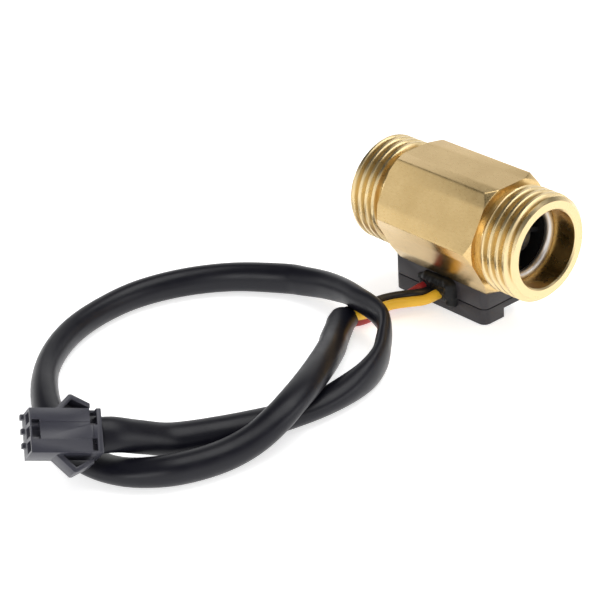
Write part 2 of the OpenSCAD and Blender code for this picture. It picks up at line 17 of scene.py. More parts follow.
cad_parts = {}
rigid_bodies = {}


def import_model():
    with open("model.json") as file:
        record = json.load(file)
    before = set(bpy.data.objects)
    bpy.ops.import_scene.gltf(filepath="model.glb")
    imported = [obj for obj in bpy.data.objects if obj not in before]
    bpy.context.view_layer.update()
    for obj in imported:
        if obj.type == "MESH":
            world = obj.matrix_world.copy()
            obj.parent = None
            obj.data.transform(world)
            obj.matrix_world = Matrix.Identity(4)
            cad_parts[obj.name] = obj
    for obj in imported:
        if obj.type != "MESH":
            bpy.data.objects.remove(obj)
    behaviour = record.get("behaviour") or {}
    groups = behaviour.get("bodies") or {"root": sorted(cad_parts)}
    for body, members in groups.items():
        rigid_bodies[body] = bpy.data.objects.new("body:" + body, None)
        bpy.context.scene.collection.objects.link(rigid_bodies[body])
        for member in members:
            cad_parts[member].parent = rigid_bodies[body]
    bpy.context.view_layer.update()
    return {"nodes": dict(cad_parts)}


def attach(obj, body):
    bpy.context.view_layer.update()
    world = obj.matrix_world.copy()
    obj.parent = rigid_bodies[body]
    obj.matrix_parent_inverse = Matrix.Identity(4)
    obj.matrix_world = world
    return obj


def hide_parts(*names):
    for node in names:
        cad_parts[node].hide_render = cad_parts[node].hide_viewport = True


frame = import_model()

MM = 0.001
nodes = frame["nodes"]

# %% [markdown]
# ## Camera
#
# The photograph looks down at about 28 degrees from the inlet side, with a long lens from
# about 400 mm away. The place and the three directions come from matching the pipe's two
# ends, the hexagon and the box to the picture.

# %% Camera
CAMERA_AT = Vector((253.44, -254.78, 192.84)) * MM
CAMERA_RIGHT = Vector((0.6641, 0.7455, -0.0550))
CAMERA_BACK = Vector((0.6759, -0.5674, 0.4704))
LENS = 125.45


def make_camera():
    """A camera at the photograph's place, set as the scene's own."""
    data = bpy.data.cameras.new("camera")
    data.lens = LENS
    data.sensor_width = 36
    data.clip_start = 0.01
    data.clip_end = 10
    data.dof.use_dof = False
    camera = bpy.data.objects.new("camera", data)
    bpy.context.scene.collection.objects.link(camera)
    back = CAMERA_BACK.normalized()
    right = (CAMERA_RIGHT - back * CAMERA_RIGHT.dot(back)).normalized()
    up = back.cross(right)
    turn = Matrix((right, up, back)).transposed()
    camera.matrix_world = Matrix.Translation(CAMERA_AT) @ turn.to_4x4()
    bpy.context.scene.camera = camera
    return camera


camera = make_camera()
print("camera at", tuple(round(v, 4) for v in camera.location))

# %% [markdown]
# ## Helpers
#
# Colours are written as seen on a screen and turned into linear light by one function. One
# helper adds a shader node with its inputs, linked or constant. Patterns use object
# coordinates in millimetres, so a scale is always a real size.


# %% Helpers for materials and meshes
def linear(code):
    """A screen colour such as #c8ae78 as linear red, green, blue and alpha."""
    parts = [int(code[i : i + 2], 16) / 255 for i in (1, 3, 5)]
    return [v / 12.92 if v <= 0.04045 else ((v + 0.055) / 1.055) ** 2.4 for v in parts] + [1.0]


def add_node(tree, kind, inputs=None, **settings):
    """Adds a node. Inputs are given by name or number, as a constant or a socket to link."""
    node = tree.nodes.new(kind)
    for name, value in settings.items():
        setattr(node, name, value)
    for name, value in (inputs or {}).items():
        if isinstance(value, bpy.types.NodeSocket):
            tree.links.new(value, node.inputs[name])
        else:
            node.inputs[name].default_value = value
    return node


def in_mm(tree, stretch=(1, 1, 1)):
    """Object coordinates in millimetres, divided along each axis by stretch."""
    place = add_node(tree, "ShaderNodeTexCoord").outputs["Object"]
    scale = [1000 / s for s in stretch]
    return add_node(tree, "ShaderNodeMapping", {"Vector": place, "Scale": scale}).outputs["Vector"]


def noise_value(tree, coords, scale, detail=3.0):
    """A noise between 0 and 1 with the given number of waves in each millimetre."""
    inputs = {"Vector": coords, "Scale": scale, "Detail": detail}
    return add_node(tree, "ShaderNodeTexNoise", inputs).outputs["Fac"]


def ranged(tree, value, low, high, start=0.3, end=0.7):
    """Stretches a value from start..end to low..high."""
    inputs = {"Value": value, "From Min": start, "From Max": end, "To Min": low, "To Max": high}
    return add_node(tree, "ShaderNodeMapRange", inputs).outputs["Result"]


def start_material(name):
    """A new material with only its output and a Principled shader."""
    material = bpy.data.materials.new(name)
    material.use_nodes = True
    tree = material.node_tree
    tree.nodes.clear()
    shader = add_node(tree, "ShaderNodeBsdfPrincipled")
    add_node(tree, "ShaderNodeOutputMaterial", {"Surface": shader.outputs["BSDF"]})
    return material, tree, shader


def set_input(tree, shader, name, value):
    """Sets a shader input to a constant or links a socket to it."""
    if isinstance(value, bpy.types.NodeSocket):
        tree.links.new(value, shader.inputs[name])
    else:
        shader.inputs[name].default_value = value


def moulded(name, colour, roughness, grain=0.02, grain_mm=0.12, mottle=0.12, ior=1.5):
    """Moulded plastic or rubber: a fine grain in the surface and a faint change of shade."""
    material, tree, shader = start_material(name)
    coords = in_mm(tree)
    cloud = noise_value(tree, coords, 0.35)
    dark = [v * (1 - mottle) for v in linear(colour)[:3]] + [1.0]
    light = [min(1.0, v * (1 + mottle)) for v in linear(colour)[:3]] + [1.0]
    mixed = add_node(tree, "ShaderNodeMix", {"Factor": cloud}, data_type="RGBA")
    mixed.inputs[6].default_value = dark
    mixed.inputs[7].default_value = light
    set_input(tree, shader, "Base Color", mixed.outputs[2])
    set_input(tree, shader, "Roughness", ranged(tree, cloud, roughness * 0.88, roughness * 1.12))
    set_input(tree, shader, "IOR", ior)
    fine = noise_value(tree, coords, 1 / grain_mm)
    bump = {"Height": fine, "Strength": 0.6, "Distance": grain * MM}
    set_input(tree, shader, "Normal", add_node(tree, "ShaderNodeBump", bump).outputs["Normal"])
    return material


def piece_object(name, mesh, material, smooth=True):
    """Links a mesh as a piece at the origin, with one material."""
    obj = bpy.data.objects.new(name, mesh)
    bpy.context.scene.collection.objects.link(obj)
    mesh.materials.clear()
    mesh.materials.append(material)
    for face in mesh.polygons:
        face.use_smooth = smooth
    return obj


def grid_mesh(name, rows, wrap=True, caps=(False, False)):
    """A mesh from rings of points, each joined to the next, with an optional cap at each end."""
    count = len(rows[0])
    points = [p for row in rows for p in row]
    faces = []
    for i in range(len(rows) - 1):
        for k in range(count if wrap else count - 1):
            n = (k + 1) % count
            faces.append((i * count + k, i * count + n, (i + 1) * count + n, (i + 1) * count + k))
    if caps[0]:
        faces.append(tuple(range(count - 1, -1, -1)))
    if caps[1]:
        faces.append(tuple((len(rows) - 1) * count + k for k in range(count)))
    mesh = bpy.data.meshes.new(name)
    mesh.from_pydata(points, [], faces)
    mesh.validate()
    return mesh


def evaluated(obj, name):
    """The mesh of an object with its modifiers worked in."""
    graph = bpy.context.evaluated_depsgraph_get()
    mesh = bpy.data.meshes.new_from_object(obj.evaluated_get(graph), depsgraph=graph)
    mesh.name = name
    return mesh


print("helpers ready")

# %% [markdown]
# ## Cord materials
#
# The sleeve is soft black vinyl with a satin skin. The wires are thinner vinyl in three
# colours. Both catch long soft highlights, so their roughness is low but not glassy.

# %% Cord materials
sleeve_vinyl = moulded("black_vinyl_sleeve", "#0e0e17", 0.36, grain=0.006, grain_mm=0.5, ior=1.38)
vinyl_red = moulded("red_vinyl_wire", "#a4282a", 0.4, grain=0.006)
vinyl_black = moulded("black_vinyl_wire", "#1d1a1b", 0.38, grain=0.006)
vinyl_yellow = moulded("yellow_vinyl_wire", "#ffc234", 0.4, grain=0.006)
print("cord materials ready")

# %% [markdown]
# ## Cable sleeve
#
# A thin-walled round vinyl tube of about 5.6 mm slips over the three wires. It lies in one
# loop, crosses itself near the front, and ends behind the connector. Where it bends tightly
# or is pressed, its round section flattens, so each point of the route also has a width, a
# height and a roll. The mouth is a real open end with a wall, because the wires go in there.

# %% Cable sleeve
SLEEVE_ROUTE = [
    (-8.6, -24, 2.4, 5.6, 4.6, 0),
    (-7.6, -25.8, 2.4, 5.6, 4.7, 0),
    (-6.2, -27.6, 2.5, 5.4, 5, 0),
    (-4.4, -29.9, 2.8, 5.4, 5.4, 0),
    (-2, -32.8, 3.4, 5.4, 5.6, 0),
    (1, -36.2, 4.2, 5.4, 5.6, 0),
    (6.5, -43.6, 6, 5.6, 5.2, 0),
    (11, -51, 7, 5.8, 4.6, 0),
    (13.2, -56.4, 6.8, 5.8, 4.4, 0),
    (14, -60.6, 5.6, 5.8, 5, 0),
    (14, -65.5, 4, 5.6, 5.4, 0),
    (13.2, -70.7, 3, 5.6, 5.6, 0),
    (11.8, -76.3, 2.8, 5.6, 5.6, 0),
    (9.2, -81.8, 2.8, 5.6, 5.4, 0),
    (4.4, -86, 2.4, 6, 4.6, 0),
    (-2, -88, 2.1, 6.2, 4, 0),
    (-10.6, -87.8, 2.2, 6, 4.2, 0),
    (-19.2, -85, 2.6, 5.6, 5, 0),
    (-26.8, -81, 2.7, 5.2, 5.4, 0),
    (-34, -75.5, 2.6, 4.7, 5.2, 0),
    (-39.5, -69, 2.6, 4.7, 5.2, 0),
    (-43.3, -61.8, 2.6, 4.7, 5.2, 0),
    (-45.3, -53.4, 2.6, 4.8, 5.2, 0),
    (-45.2, -44.9, 2.7, 5.2, 5.4, 0),
    (-42.2, -36, 2.8, 5.4, 5.6, 0),
    (-36.5, -28, 2.9, 5.6, 5.8, 0),
    (-28.4, -21.8, 3, 5.8, 6, 0),
    (-24, -20.4, 3.4, 5.4, 5.9, 0),
    (-19, -19.8, 4.2, 5, 5.6, 0),
    (-14.1, -20.3, 5.2, 4.6, 5.2, 0),
    (-10.3, -21.1, 6, 4.2, 4.8, 0),
    (-6.7, -22, 6.4, 4, 4.8, 0),
    (-2.6, -22.8, 6.6, 3.4, 5.2, 0),
    (0.4, -23.6, 6.5, 3, 5.6, 0),
    (3, -24.7, 6.2, 2.8, 6, 0),
    (5.1, -26.4, 5.5, 2.8, 6.4, 0),
    (6.9, -28.5, 4.7, 3, 6.6, 0),
    (9.4, -31.9, 3.8, 3.4, 6.4, 0),
    (11.2, -36.8, 3.1, 4.4, 6, 0),
    (11.7, -42.2, 2.6, 5.6, 5.1, 0),
    (11.6, -48, 2.3, 5.8, 4.4, 0),
    (10.8, -53.6, 2.3, 5.8, 4.4, 0),
    (9.3, -60, 2.6, 5.6, 5.2, 0),
    (6.4, -67.4, 2.8, 5.9, 5.4, 8),
    (3, -75, 3.4, 6.2, 5.2, 20),
    (1.7, -80.6, 5.8, 6.3, 4.8, 32),
    (0.95, -85.2, 8.1, 6.4, 4.3, 40),
    (-0.05, -88.2, 8.9, 6.4, 4, 44),
]
SLEEVE_WALL = 0.45
MOUTH_DEPTH = 14
SECTION_STEPS = 5
SLEEVE_SIDES = 36
LUMP = 0.018
TWIST_STEP = 0.035
TWIST_MOST = 0.9
SLEEVE_EXIT = (-0.0084, -0.0233, 0.0022)


def smooth_route(route, steps):
    """Points between the route's own, on a curve that passes through each of them."""
    rows = [Vector(p) for p in route]
    dense = []
    for i in range(len(rows) - 1):
        p1, p2 = rows[i], rows[i + 1]
        p0 = rows[i - 1] if i else p1 * 2 - p2
        p3 = rows[i + 2] if i + 2 < len(rows) else p2 * 2 - p1
        for s in range(steps):
            t = s / steps
            point = p1 * 2 + (p2 - p0) * t + (p0 * 2 - p1 * 5 + p2 * 4 - p3) * t**2
            point += (p1 * 3 - p0 - p2 * 3 + p3) * t**3
            dense.append(point / 2)
    return dense + [rows[-1]]


def section_ring(row, ahead, sides, shrink=0.0, twist=0.0):
    """One ring across the route: an oval whose skin is pressed out a little by three wires."""
    side = ahead.cross(Vector((0, 0, 1))).normalized()
    up = side.cross(ahead).normalized()
    roll = math.radians(row[5])
    ring = []
    for k in range(sides):
        a = 2 * math.pi * k / sides
        press = 1 + LUMP * math.cos(3 * (a - twist))
        x, y = (row[3] / 2 - shrink) * math.cos(a), (row[4] / 2 - shrink) * math.sin(a)
        x, y = x * press, y * press
        across = x * math.cos(roll) - y * math.sin(roll)
        upward = x * math.sin(roll) + y * math.cos(roll)
        point = Vector(row[:3]) + side * across + up * upward
        point.z = max(point.z, 0.0)
        ring.append(point * MM)
    return ring


def heading(rows, i):
    """The direction of the route at one of its rows."""
    before, after = rows[max(i - 1, 0)], rows[min(i + 1, len(rows) - 1)]
    return Vector([after[k] - before[k] for k in range(3)]).normalized()


def make_sleeve():
    """The sleeve's skin, with a wall and a hollow at its open mouth."""
    flat_route = [tuple(row) for row in SLEEVE_ROUTE]
    places = smooth_route([row[:3] for row in flat_route], SECTION_STEPS)
    shapes = smooth_route([row[3:] for row in flat_route], SECTION_STEPS)
    rows = [(*place, *shape) for place, shape in zip(places, shapes)]
    twists = [math.sin(i * TWIST_STEP) * TWIST_MOST for i in range(len(rows))]
    skin = []
    for i, row in enumerate(rows):
        skin.append(section_ring(row, heading(rows, i), SLEEVE_SIDES, twist=twists[i]))
    inner, deep = [], 0.0
    for i, row in enumerate(rows):
        inner.append(section_ring(row, heading(rows, i), SLEEVE_SIDES, SLEEVE_WALL, twists[i]))
        deep += (Vector(rows[i + 1][:3]) - Vector(row[:3])).length
        if deep > MOUTH_DEPTH:
            break
    mesh = grid_mesh("cable_sleeve_skin", inner[::-1] + skin, caps=(True, True))
    mesh.flip_normals()
    obj = piece_object("cable_sleeve_skin", mesh, sleeve_vinyl)
    path = [Vector(p) * MM for p in places]
    length = sum((b - a).length for a, b in zip(path, path[1:]))
    print("sleeve:", len(mesh.vertices), "points, length", round(length, 4), "m")
    return obj, path


sleeve, sleeve_path = make_sleeve()
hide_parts("cable_sleeve")
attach(sleeve, "meter")

# %% [markdown]
# ## Wires
#
# Three stranded wires, 2 mm over the insulation, leave the seal side by side, bunch together
# and enter the sleeve. Each follows its own path, so a small node group does the sweeping:
# it takes a curve and a radius, and gives back a closed round skin.

# %% Wires
WIRE_D = 2.0
WIRE_ROUTES = {
    "wire_yellow": [
        (-1.2, -1.6, 3.2),
        (-1.2, -4.2, 3.2),
        (-1.2, -7, 3.2),
        (-1.75, -9.5, 2.9),
        (-3.6, -12.1, 2.8),
        (-5.2, -15, 2.8),
        (-5.9, -18.2, 2.8),
        (-6.4, -21, 2.75),
        (-7.2, -23.3, 2.95),
        (-6.9, -24.9, 3.1),
        (-5.4, -26.9, 3.2),
        (-3.5, -29.2, 3.5),
        (-1.1, -32.1, 4.1),
    ],
    "wire_black": [
        (-3.3, -1.6, 3.2),
        (-3.3, -4.2, 3.2),
        (-3.3, -7.1, 3.2),
        (-4, -9.2, 3.25),
        (-5.95, -11.6, 3.15),
        (-7.5, -14.5, 3.05),
        (-8.1, -17.8, 3),
        (-8.6, -20.6, 2.75),
        (-9.4, -23.1, 2.95),
        (-8.9, -26, 3.1),
        (-7.2, -28.3, 3.2),
        (-5.2, -30.6, 3.5),
        (-2.8, -33.5, 4.1),
    ],
    "wire_red": [
        (-5.4, -1.6, 3.2),
        (-5.4, -4.2, 3.2),
        (-5.4, -6.9, 3.2),
        (-6.2, -8.7, 2.4),
        (-7.35, -10.5, 1.4),
        (-7.8, -13.2, 1),
        (-7.5, -16.1, 1),
        (-7.15, -19, 1),
        (-7.5, -21.2, 1),
        (-8.25, -23.4, 1.2),
        (-7.9, -25.5, 1.35),
        (-6.3, -27.6, 1.45),
        (-4.4, -29.9, 1.75),
        (-2, -32.8, 2.35),
    ],
}
WIRE_LOOKS = {"wire_yellow": vinyl_yellow, "wire_black": vinyl_black, "wire_red": vinyl_red}


def wire_group():
    """A node group that sweeps a round section of a given radius along its curve."""
    group = bpy.data.node_groups.new("wire_sweep", "GeometryNodeTree")
    face = group.interface
    face.new_socket("Geometry", in_out="INPUT", socket_type="NodeSocketGeometry")
    radius = face.new_socket("Wire radius", in_out="INPUT", socket_type="NodeSocketFloat")
    sides = face.new_socket("Sides", in_out="INPUT", socket_type="NodeSocketInt")
    coat = face.new_socket("Insulation", in_out="INPUT", socket_type="NodeSocketMaterial")
    face.new_socket("Geometry", in_out="OUTPUT", socket_type="NodeSocketGeometry")
    start = add_node(group, "NodeGroupInput").outputs
    ring = {"Resolution": start["Sides"], "Radius": start["Wire radius"]}
    circle = add_node(group, "GeometryNodeCurvePrimitiveCircle", ring).outputs["Curve"]
    sweep = {"Curve": start["Geometry"], "Profile Curve": circle, "Fill Caps": True}
    skin = add_node(group, "GeometryNodeCurveToMesh", sweep).outputs["Mesh"]
    smooth = add_node(group, "GeometryNodeSetShadeSmooth", {0: skin}).outputs[0]
    real = add_node(group, "GeometryNodeRealizeInstances", {0: smooth}).outputs[0]
    coated = {"Geometry": real, "Material": start["Insulation"]}
    done = add_node(group, "GeometryNodeSetMaterial", coated).outputs["Geometry"]
    add_node(group, "NodeGroupOutput", {0: done})
    return group, {"radius": radius.identifier, "sides": sides.identifier, "coat": coat.identifier}


sweep_group, sweep_ids = wire_group()


def make_wire(name, route, material):
    """Sweeps one wire along its smoothed route and keeps the result as a plain mesh."""
    path = [p * MM for p in smooth_route(route, 4)]
    data = bpy.data.curves.new(name + "_line", "CURVE")
    data.dimensions = "3D"
    spline = data.splines.new("POLY")
    spline.points.add(len(path) - 1)
    for point, place in zip(spline.points, path):
        point.co = (*place, 1)
    line = bpy.data.objects.new(name + "_line", data)
    bpy.context.scene.collection.objects.link(line)
    sweep = line.modifiers.new("sweep", "NODES")
    sweep.node_group = sweep_group
    sweep[sweep_ids["radius"]] = WIRE_D / 2 * MM
    sweep[sweep_ids["sides"]] = 20
    sweep[sweep_ids["coat"]] = material
    mesh = evaluated(line, name + "_skin")
    bpy.data.objects.remove(line)
    bpy.data.curves.remove(data)
    obj = piece_object(name + "_skin", mesh, material)
    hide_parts(name)
    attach(obj, "meter")
    length = sum((b - a).length for a, b in zip(path, path[1:]))
    print(name, "length", round(length, 4), "m")
    return obj, path, length


for wire_name, wire_route in WIRE_ROUTES.items():
    wire, wire_path, wire_length = make_wire(wire_name, wire_route, WIRE_LOOKS[wire_name])

# %% [markdown]
# ## Brass
#
# The body is turned from hexagonal brass bar. The flats keep the drawn bar's dull, faintly
# streaked skin. The threads, the end faces and the bore are freshly cut and bright. Both are
# the same metal, so they share a colour, and differ in roughness and in the run of the marks.

# %% Brass materials
BRASS = "#e3cc9c"
BRASS_DULL = "#dfc28b"
AXIS_Z = 18.0


def drawn_brass():
    """Bar skin: satin, with a fine grain drawn out a little along the pipe and soft clouds."""
    material, tree, shader = start_material("drawn_brass")
    streak = noise_value(tree, in_mm(tree, (0.9, 0.35, 0.35)), 1.0, 3.0)
    cloud = noise_value(tree, in_mm(tree), 0.16)
    blend = add_node(tree, "ShaderNodeMath", {0: cloud, 1: streak}, operation="MULTIPLY")
    shade = ranged(tree, blend.outputs[0], 0.0, 1.0, 0.12, 0.4)
    mixed = add_node(tree, "ShaderNodeMix", {"Factor": shade}, data_type="RGBA")
    mixed.inputs[6].default_value = linear("#d0b27b")
    mixed.inputs[7].default_value = linear(BRASS_DULL)
    set_input(tree, shader, "Base Color", mixed.outputs[2])
    set_input(tree, shader, "Metallic", 1.0)
    rough = ranged(tree, streak, 0.26, 0.34)
    place = add_node(tree, "ShaderNodeSeparateXYZ", {"Vector": in_mm(tree)}).outputs["Z"]
    worn = ranged(tree, place, 0.72, 1.0, AXIS_Z - 0.4, AXIS_Z + 0.1)
    polish = add_node(tree, "ShaderNodeMath", {0: rough, 1: worn}, operation="MULTIPLY")
    set_input(tree, shader, "Roughness", polish.outputs[0])
    bump = {"Height": streak, "Strength": 0.5, "Distance": 0.006 * MM}
    set_input(tree, shader, "Normal", add_node(tree, "ShaderNodeBump", bump).outputs["Normal"])
    return material


def turned_brass(name, colour, low, high):
    """Cut surface: bright, with fine tool marks around the pipe."""
    material, tree, shader = start_material(name)
    place = add_node(tree, "ShaderNodeTexCoord").outputs["Object"]
    split = add_node(tree, "ShaderNodeSeparateXYZ", {"Vector": place}).outputs
    lifted = {0: split["Z"], 1: 0.018}
    z = add_node(tree, "ShaderNodeMath", lifted, operation="SUBTRACT").outputs[0]
    cross = {"X": split["Y"], "Y": z}
    flat = add_node(tree, "ShaderNodeCombineXYZ", cross).outputs["Vector"]
    length = add_node(tree, "ShaderNodeVectorMath", {0: flat}, operation="LENGTH")
    rings = {"X": split["X"], "Y": length.outputs["Value"]}
    marks = add_node(tree, "ShaderNodeCombineXYZ", rings).outputs["Vector"]
    fine = add_node(tree, "ShaderNodeMapping", {"Vector": marks, "Scale": (9000, 9000, 9000)})
    groove = noise_value(tree, fine.outputs["Vector"], 1.0, 2.0)
    cloud = noise_value(tree, in_mm(tree), 0.3)
    set_input(tree, shader, "Base Color", linear(colour))
    set_input(tree, shader, "Metallic", 1.0)
    set_input(tree, shader, "Roughness", ranged(tree, cloud, low, high))
    bump = {"Height": groove, "Strength": 0.15, "Distance": 0.003 * MM}
    set_input(tree, shader, "Normal", add_node(tree, "ShaderNodeBump", bump).outputs["Normal"])
    return material


brass_flats = drawn_brass()
brass_cut = turned_brass("turned_brass", BRASS, 0.24, 0.34)
brass_bore = turned_brass("bored_brass", "#c9a562", 0.22, 0.34)
print("brass materials ready")

# %% [markdown]
# ## Brass body
#
# The CAD model draws each thread as closed rings. Here it becomes a true right-handed helix:
# for every angle and every place along the spigot the surface's radius is worked out from the
# thread's own profile, cut back by a cone at the end face and at the relief groove. The
# hexagon's cone leaves curved edges on the flats, and its points lie exactly on them.

# %% Brass body
PIPE_LEN = 43.0
HEX_AF = 21.0
HEX_LEN = 25.0
HEX_CONE_R = 11.0
THREAD_R = 10.4775
PITCH = 1.814
THREAD_DEPTH = 1.162
CREST_HALF = 0.24
ROOT_HALF = 0.1
RELIEF = 0.6
END_R = 9.4275
END_LEN = (PIPE_LEN - HEX_LEN) / 2
BORE_R = 7.6
OUTLET_R = 6.0
SHOULDER_X = -12.0
MOUTH_BEVEL = 0.3
GROOVE_X = 15.3
GROOVE_R = 7.1
WIRE_R = 0.92
THREAD_STEPS = 192
FLANK_STEPS = 8


def around(x, r, angle):
    """A point at a radius and an angle around the pipe's axis, in metres."""
    return Vector((x, r * math.cos(angle), AXIS_Z + r * math.sin(angle))) * MM


def thread_radius(x, angle):
    """The radius of the threaded surface before its ends are cut back."""
    phase = (x / PITCH - angle / (2 * math.pi)) % 1.0
    away = abs(phase - 0.5) * PITCH
    share = min(1.0, max(0.0, (away - CREST_HALF) / (PITCH / 2 - CREST_HALF - ROOT_HALF)))
    soft = share * share * (3 - 2 * share)
    return THREAD_R - THREAD_DEPTH * (0.55 * share + 0.45 * soft)


def thread_phases():
    """Places along one pitch, as shares: root, flank, both edges of the crest, and back."""
    flank = PITCH / 2 - CREST_HALF - ROOT_HALF
    climb = [CREST_HALF + flank * (1 - i / FLANK_STEPS) for i in range(FLANK_STEPS + 1)]
    away = [-PITCH / 2] + [-d for d in climb] + [0.0] + climb[::-1]
    return [0.5 + d / PITCH for d in away]


def spigot_radius(x, angle):
    """The threaded radius, cut back by a cone at the end face and at the relief groove."""
    s = abs(x) - HEX_LEN / 2
    if s >= END_LEN:
        return END_R
    root = THREAD_R - THREAD_DEPTH
    r = min(thread_radius(x, angle), END_R + END_LEN - s, root + max(0.0, s - RELIEF) * 0.9)
    return max(r, root)


def spigot(side):
    """One threaded end. Its grid follows the helix, so each crest and root is one line of it."""
    low, high = sorted((side * HEX_LEN / 2, side * PIPE_LEN / 2))
    phases = thread_phases()
    turns = range(math.floor(low / PITCH) - 2, math.ceil(high / PITCH) + 2)
    starts = [PITCH * (turn + phase) for turn in turns for phase in phases]
    points, faces = [], []
    for start in starts:
        for k in range(THREAD_STEPS):
            angle = 2 * math.pi * k / THREAD_STEPS
            x = min(max(start + PITCH * k / THREAD_STEPS, low), high)
            points.append(around(x, spigot_radius(x, angle), angle))
    for i in range(len(starts) - 1 - len(phases)):
        for k in range(THREAD_STEPS):
            here = i * THREAD_STEPS + k
            after = here + 1 if k + 1 < THREAD_STEPS else (i + len(phases)) * THREAD_STEPS
            faces.append((here, after, after + THREAD_STEPS, here + THREAD_STEPS))
    return welded("spigot", points, faces)


def welded(name, points, faces):
    """A mesh whose points that fall together are joined."""
    mesh = bpy.data.meshes.new(name)
    mesh.from_pydata(points, [], faces)
    bm = bmesh.new()
    bm.from_mesh(mesh)
    bmesh.ops.remove_doubles(bm, verts=bm.verts, dist=1e-7)
    bm.to_mesh(mesh)
    bm.free()
    return mesh


def lathe(profile, steps=THREAD_STEPS):
    """Rings of points from a list of (x, radius)."""
    return [[around(x, r, 2 * math.pi * k / steps) for k in range(steps)] for x, r in profile]


def hexagon_rows():
    """Rings of points over the hexagon: end face, cone edge, flat, and the same mirrored."""
    rows = [[] for _ in range(6)]
    for k in range(THREAD_STEPS):
        a = 2 * math.pi * k / THREAD_STEPS
        local = (a - math.pi / 2 + math.pi / 6) % (math.pi / 3) - math.pi / 6
        flat = HEX_AF / 2 / math.cos(local)
        cone = max(0.0, flat - HEX_CONE_R)
        end = HEX_LEN / 2
        inner, edge = THREAD_R - THREAD_DEPTH, min(flat, HEX_CONE_R)
        places = [(end, inner), (end, edge), (end - cone, flat)]
        places += [(-x, r) for x, r in reversed(places)]
        for row, (x, r) in zip(rows, places):
            row.append(around(x, r, a))
    return rows


def groove_profile():
    """The half-round groove for the retaining ring, as points along the bore."""
    half = math.acos((BORE_R - GROOVE_R) / WIRE_R)
    return [
        (GROOVE_X + WIRE_R * math.sin(a), GROOVE_R + WIRE_R * math.cos(a))
        for a in (half - 2 * half * i / 8 for i in range(9))
    ]


def join_meshes(name, meshes):
    """One mesh from several, each with its own material number."""
    bm = bmesh.new()
    for number, mesh in enumerate(meshes):
        before = len(bm.faces)
        bm.from_mesh(mesh)
        bm.faces.ensure_lookup_table()
        for face in bm.faces[before:]:
            face.material_index = number
            face.smooth = True
        bpy.data.meshes.remove(mesh)
    bmesh.ops.remove_doubles(bm, verts=bm.verts, dist=1e-7)
    joined = bpy.data.meshes.new(name)
    bm.to_mesh(joined)
    bm.free()
    return joined


def mark_sharp(mesh, angle):
    """Marks edges sharper than an angle, so that they shade as edges."""
    bm = bmesh.new()
    bm.from_mesh(mesh)
    bmesh.ops.recalc_face_normals(bm, faces=bm.faces)
    for edge in bm.edges:
        edge.smooth = not (edge.is_manifold and edge.calc_face_angle(0) > math.radians(angle))
    bm.to_mesh(mesh)
    bm.free()


def make_brass():
    """The brass body: hexagon, two helical spigots and the stepped bore."""
    hexagon = grid_mesh("hexagon", hexagon_rows())
    block = piece_object("hexagon_block", hexagon, brass_flats)
    mark_sharp(hexagon, 12)
    edge = block.modifiers.new("edge", "BEVEL")
    edge.width = 0.18 * MM
    edge.segments = 2
    edge.limit_method = "ANGLE"
    edge.angle_limit = math.radians(25)
    edge.use_clamp_overlap = True
    softened_hexagon = evaluated(block, "hexagon_soft")
    bpy.data.objects.remove(block)
    end = PIPE_LEN / 2
    threads = [spigot(side) for side in (1, -1)]
    faces = [
        lathe([(end, END_R), (end, BORE_R + MOUTH_BEVEL), (end - MOUTH_BEVEL, BORE_R)]),
        lathe([(-end, END_R), (-end, OUTLET_R + MOUTH_BEVEL), (-end + MOUTH_BEVEL, OUTLET_R)]),
    ]
    ends = [grid_mesh("end_face", rows) for rows in faces]
    hole = [(end - MOUTH_BEVEL, BORE_R)] + groove_profile()
    hole += [(SHOULDER_X, BORE_R), (SHOULDER_X, OUTLET_R), (-end + MOUTH_BEVEL, OUTLET_R)]
    bore = grid_mesh("bore", lathe(hole))
    mesh = join_meshes("brass_body_turned", [softened_hexagon, *threads, *ends, bore])
    mark_sharp(mesh, 28)
    obj = bpy.data.objects.new("brass_body_turned", mesh)
    bpy.context.scene.collection.objects.link(obj)
    for material in (brass_flats, brass_cut, brass_cut, brass_cut, brass_cut, brass_bore):
        mesh.materials.append(material)
    print("brass body:", len(mesh.polygons), "faces")
    return obj


brass = make_brass()
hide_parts("brass_body")
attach(brass, "meter")

# %% [markdown]
# ## Moulded pieces
#
# Moulded edges are never perfectly sharp. Each piece is a copy of its CAD solid with the flat
# faces merged and a narrow rounding on every edge, which gives the thin light lines that make
# plastic read as plastic. The box has a fine matt grain, the connector a smoother nylon skin.

# %% Moulded materials
box_plastic = moulded("charcoal_box_plastic", "#2c292d", 0.48, grain=0.03, grain_mm=0.16)
cover_plastic = moulded("charcoal_cover_plastic", "#272428", 0.5, grain=0.03, grain_mm=0.16)
nylon = moulded("black_connector_nylon", "#34343d", 0.34, grain=0.015, grain_mm=0.2)
sealant = moulded("black_sealant", "#0c0c0d", 0.5, grain=0.03, grain_mm=0.8, ior=1.36)
cartridge_plastic = moulded("dark_cartridge_plastic", "#141416", 0.45)
rotor_plastic = moulded("dark_rotor_plastic", "#1b1b1e", 0.45)
print("moulded materials ready")


